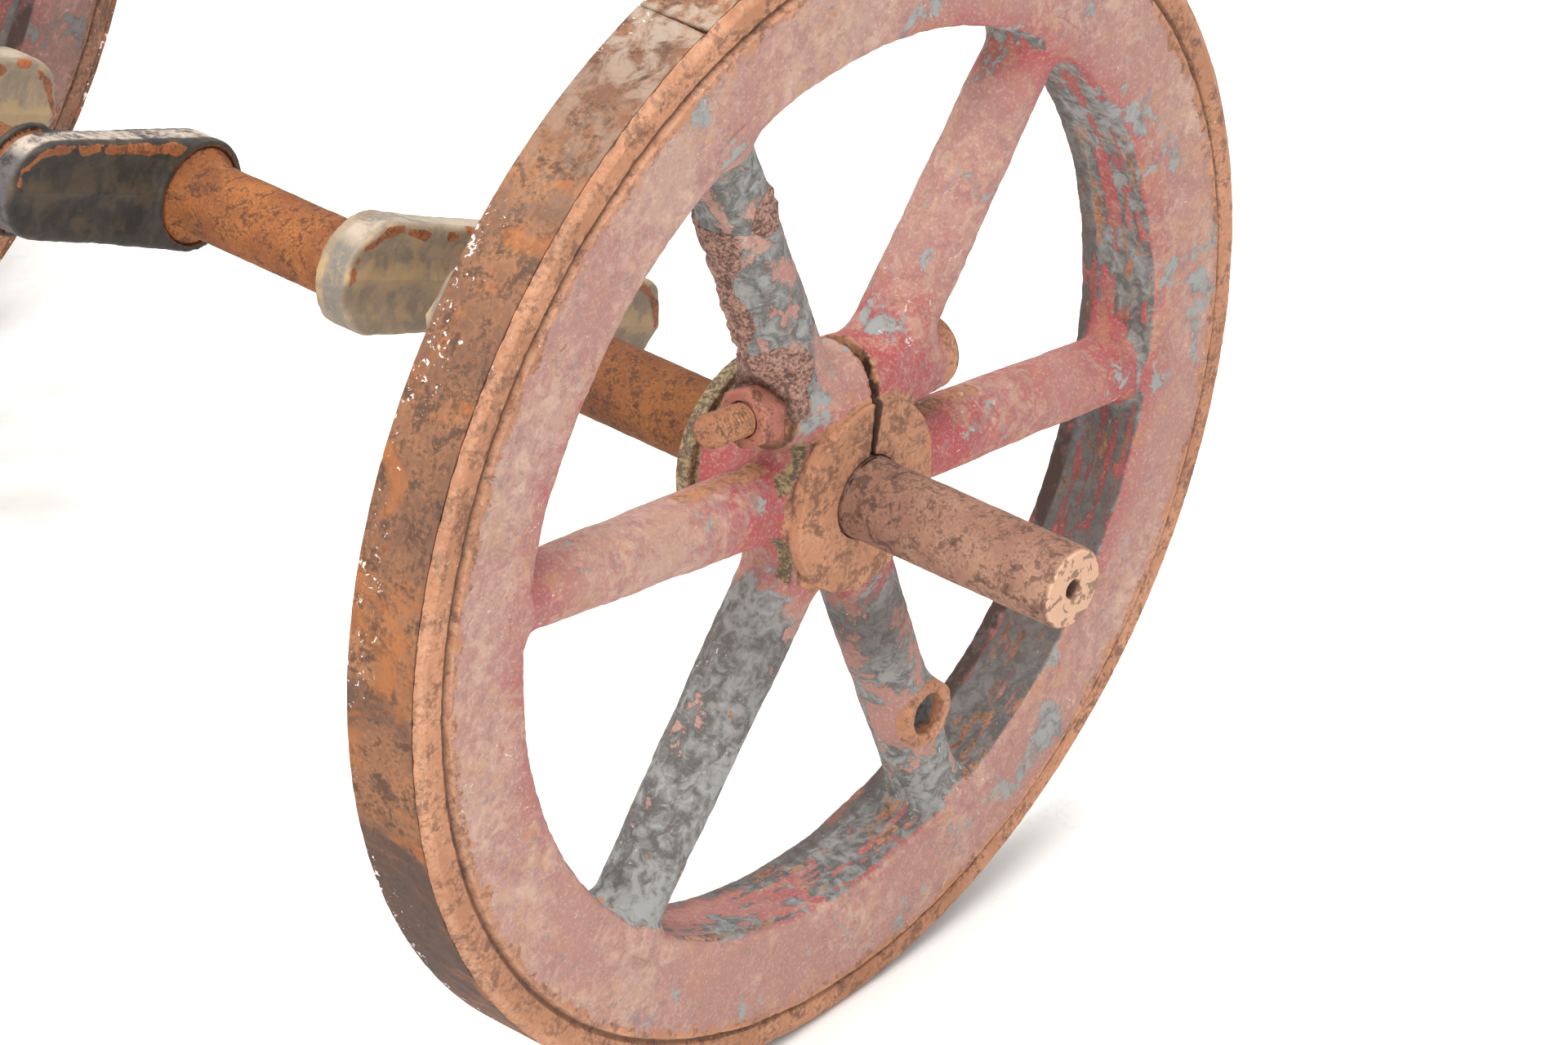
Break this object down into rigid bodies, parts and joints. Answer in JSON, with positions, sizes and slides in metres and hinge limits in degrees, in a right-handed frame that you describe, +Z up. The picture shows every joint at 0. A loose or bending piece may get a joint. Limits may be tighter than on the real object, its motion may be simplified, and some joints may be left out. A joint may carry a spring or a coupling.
{
  "type": "two-throw crankshaft with flywheels",
  "caption": "Rusty two-throw crankshaft on its own, with a spoked, split-hub flywheel with a rim tyre clamped near each end and a plain stub shaft beyond each wheel.",
  "frame": {"origin": "centre of the shaft, on its centre line and half-way between its two stub ends", "axes": "+Y along the shaft from the near wheel towards the far wheel, +Z up, +X to the right of someone looking along +Y"},
  "size_m": [0.56, 1.02, 0.56],
  "materials": {
    "cast_wheel": "worn, flaking paint over rusty cast iron",
    "tyre_steel": "rusty, rough",
    "bright_rust": "rusty, once turned smooth",
    "dark_forging": "dark scale with rust",
    "bolt_steel": "rusty",
    "nut_steel": "worn paint over rust"
  },
  "bodies": {
    "crankshaft": {"near_shaft": "bright_rust", "near_outer_arm": "dark_forging", "near_crankpin": "bright_rust", "near_inner_arm": "dark_forging", "centre_journal": "bright_rust", "far_inner_arm": "dark_forging", "far_crankpin": "bright_rust", "far_outer_arm": "dark_forging", "far_shaft": "bright_rust"},
    "near_flywheel": {"near_wheel": "cast_wheel", "near_tyre": "tyre_steel"},
    "near_bolt": {"near_clamp_bolt": "bolt_steel"},
    "near_nut": {"near_clamp_nut": "nut_steel"},
    "far_flywheel": {"far_wheel": "cast_wheel", "far_tyre": "tyre_steel"},
    "far_bolt": {"far_clamp_bolt": "bolt_steel"},
    "far_nut": {"far_clamp_nut": "nut_steel"}
  },
  "joints": [
    {"name": "near_wheel_turn", "type": "hinge", "parent": "crankshaft", "child": "near_flywheel", "pos_m": [0, -0.3645, 0], "axis": [0, 1, 0], "continuous": true},
    {"name": "near_bolt_draw", "type": "slide", "parent": "near_flywheel", "child": "near_bolt", "axis": [0.9848, 0, -0.1736], "range_m": [0, 0.04]},
    {"name": "near_nut_turn", "type": "hinge", "parent": "near_flywheel", "child": "near_nut", "pos_m": [0.00781, -0.3685, 0.04432], "axis": [0.9848, 0, -0.1736], "range_deg": [0, 6261.9]},
    {"name": "far_wheel_turn", "type": "hinge", "parent": "crankshaft", "child": "far_flywheel", "pos_m": [0, 0.3645, 0], "axis": [0, 1, 0], "continuous": true},
    {"name": "far_bolt_draw", "type": "slide", "parent": "far_flywheel", "child": "far_bolt", "axis": [0.9848, 0, -0.1736], "range_m": [0, 0.04]},
    {"name": "far_nut_turn", "type": "hinge", "parent": "far_flywheel", "child": "far_nut", "pos_m": [0.00781, 0.3685, 0.04432], "axis": [0.9848, 0, -0.1736], "range_deg": [0, 6261.9]}
  ],
  "couplings": [
    {"joint": "near_nut_turn", "follows": "near_bolt_draw", "rad_per_m": 2731.8},
    {"joint": "far_nut_turn", "follows": "far_bolt_draw", "rad_per_m": 2731.8}
  ]
}
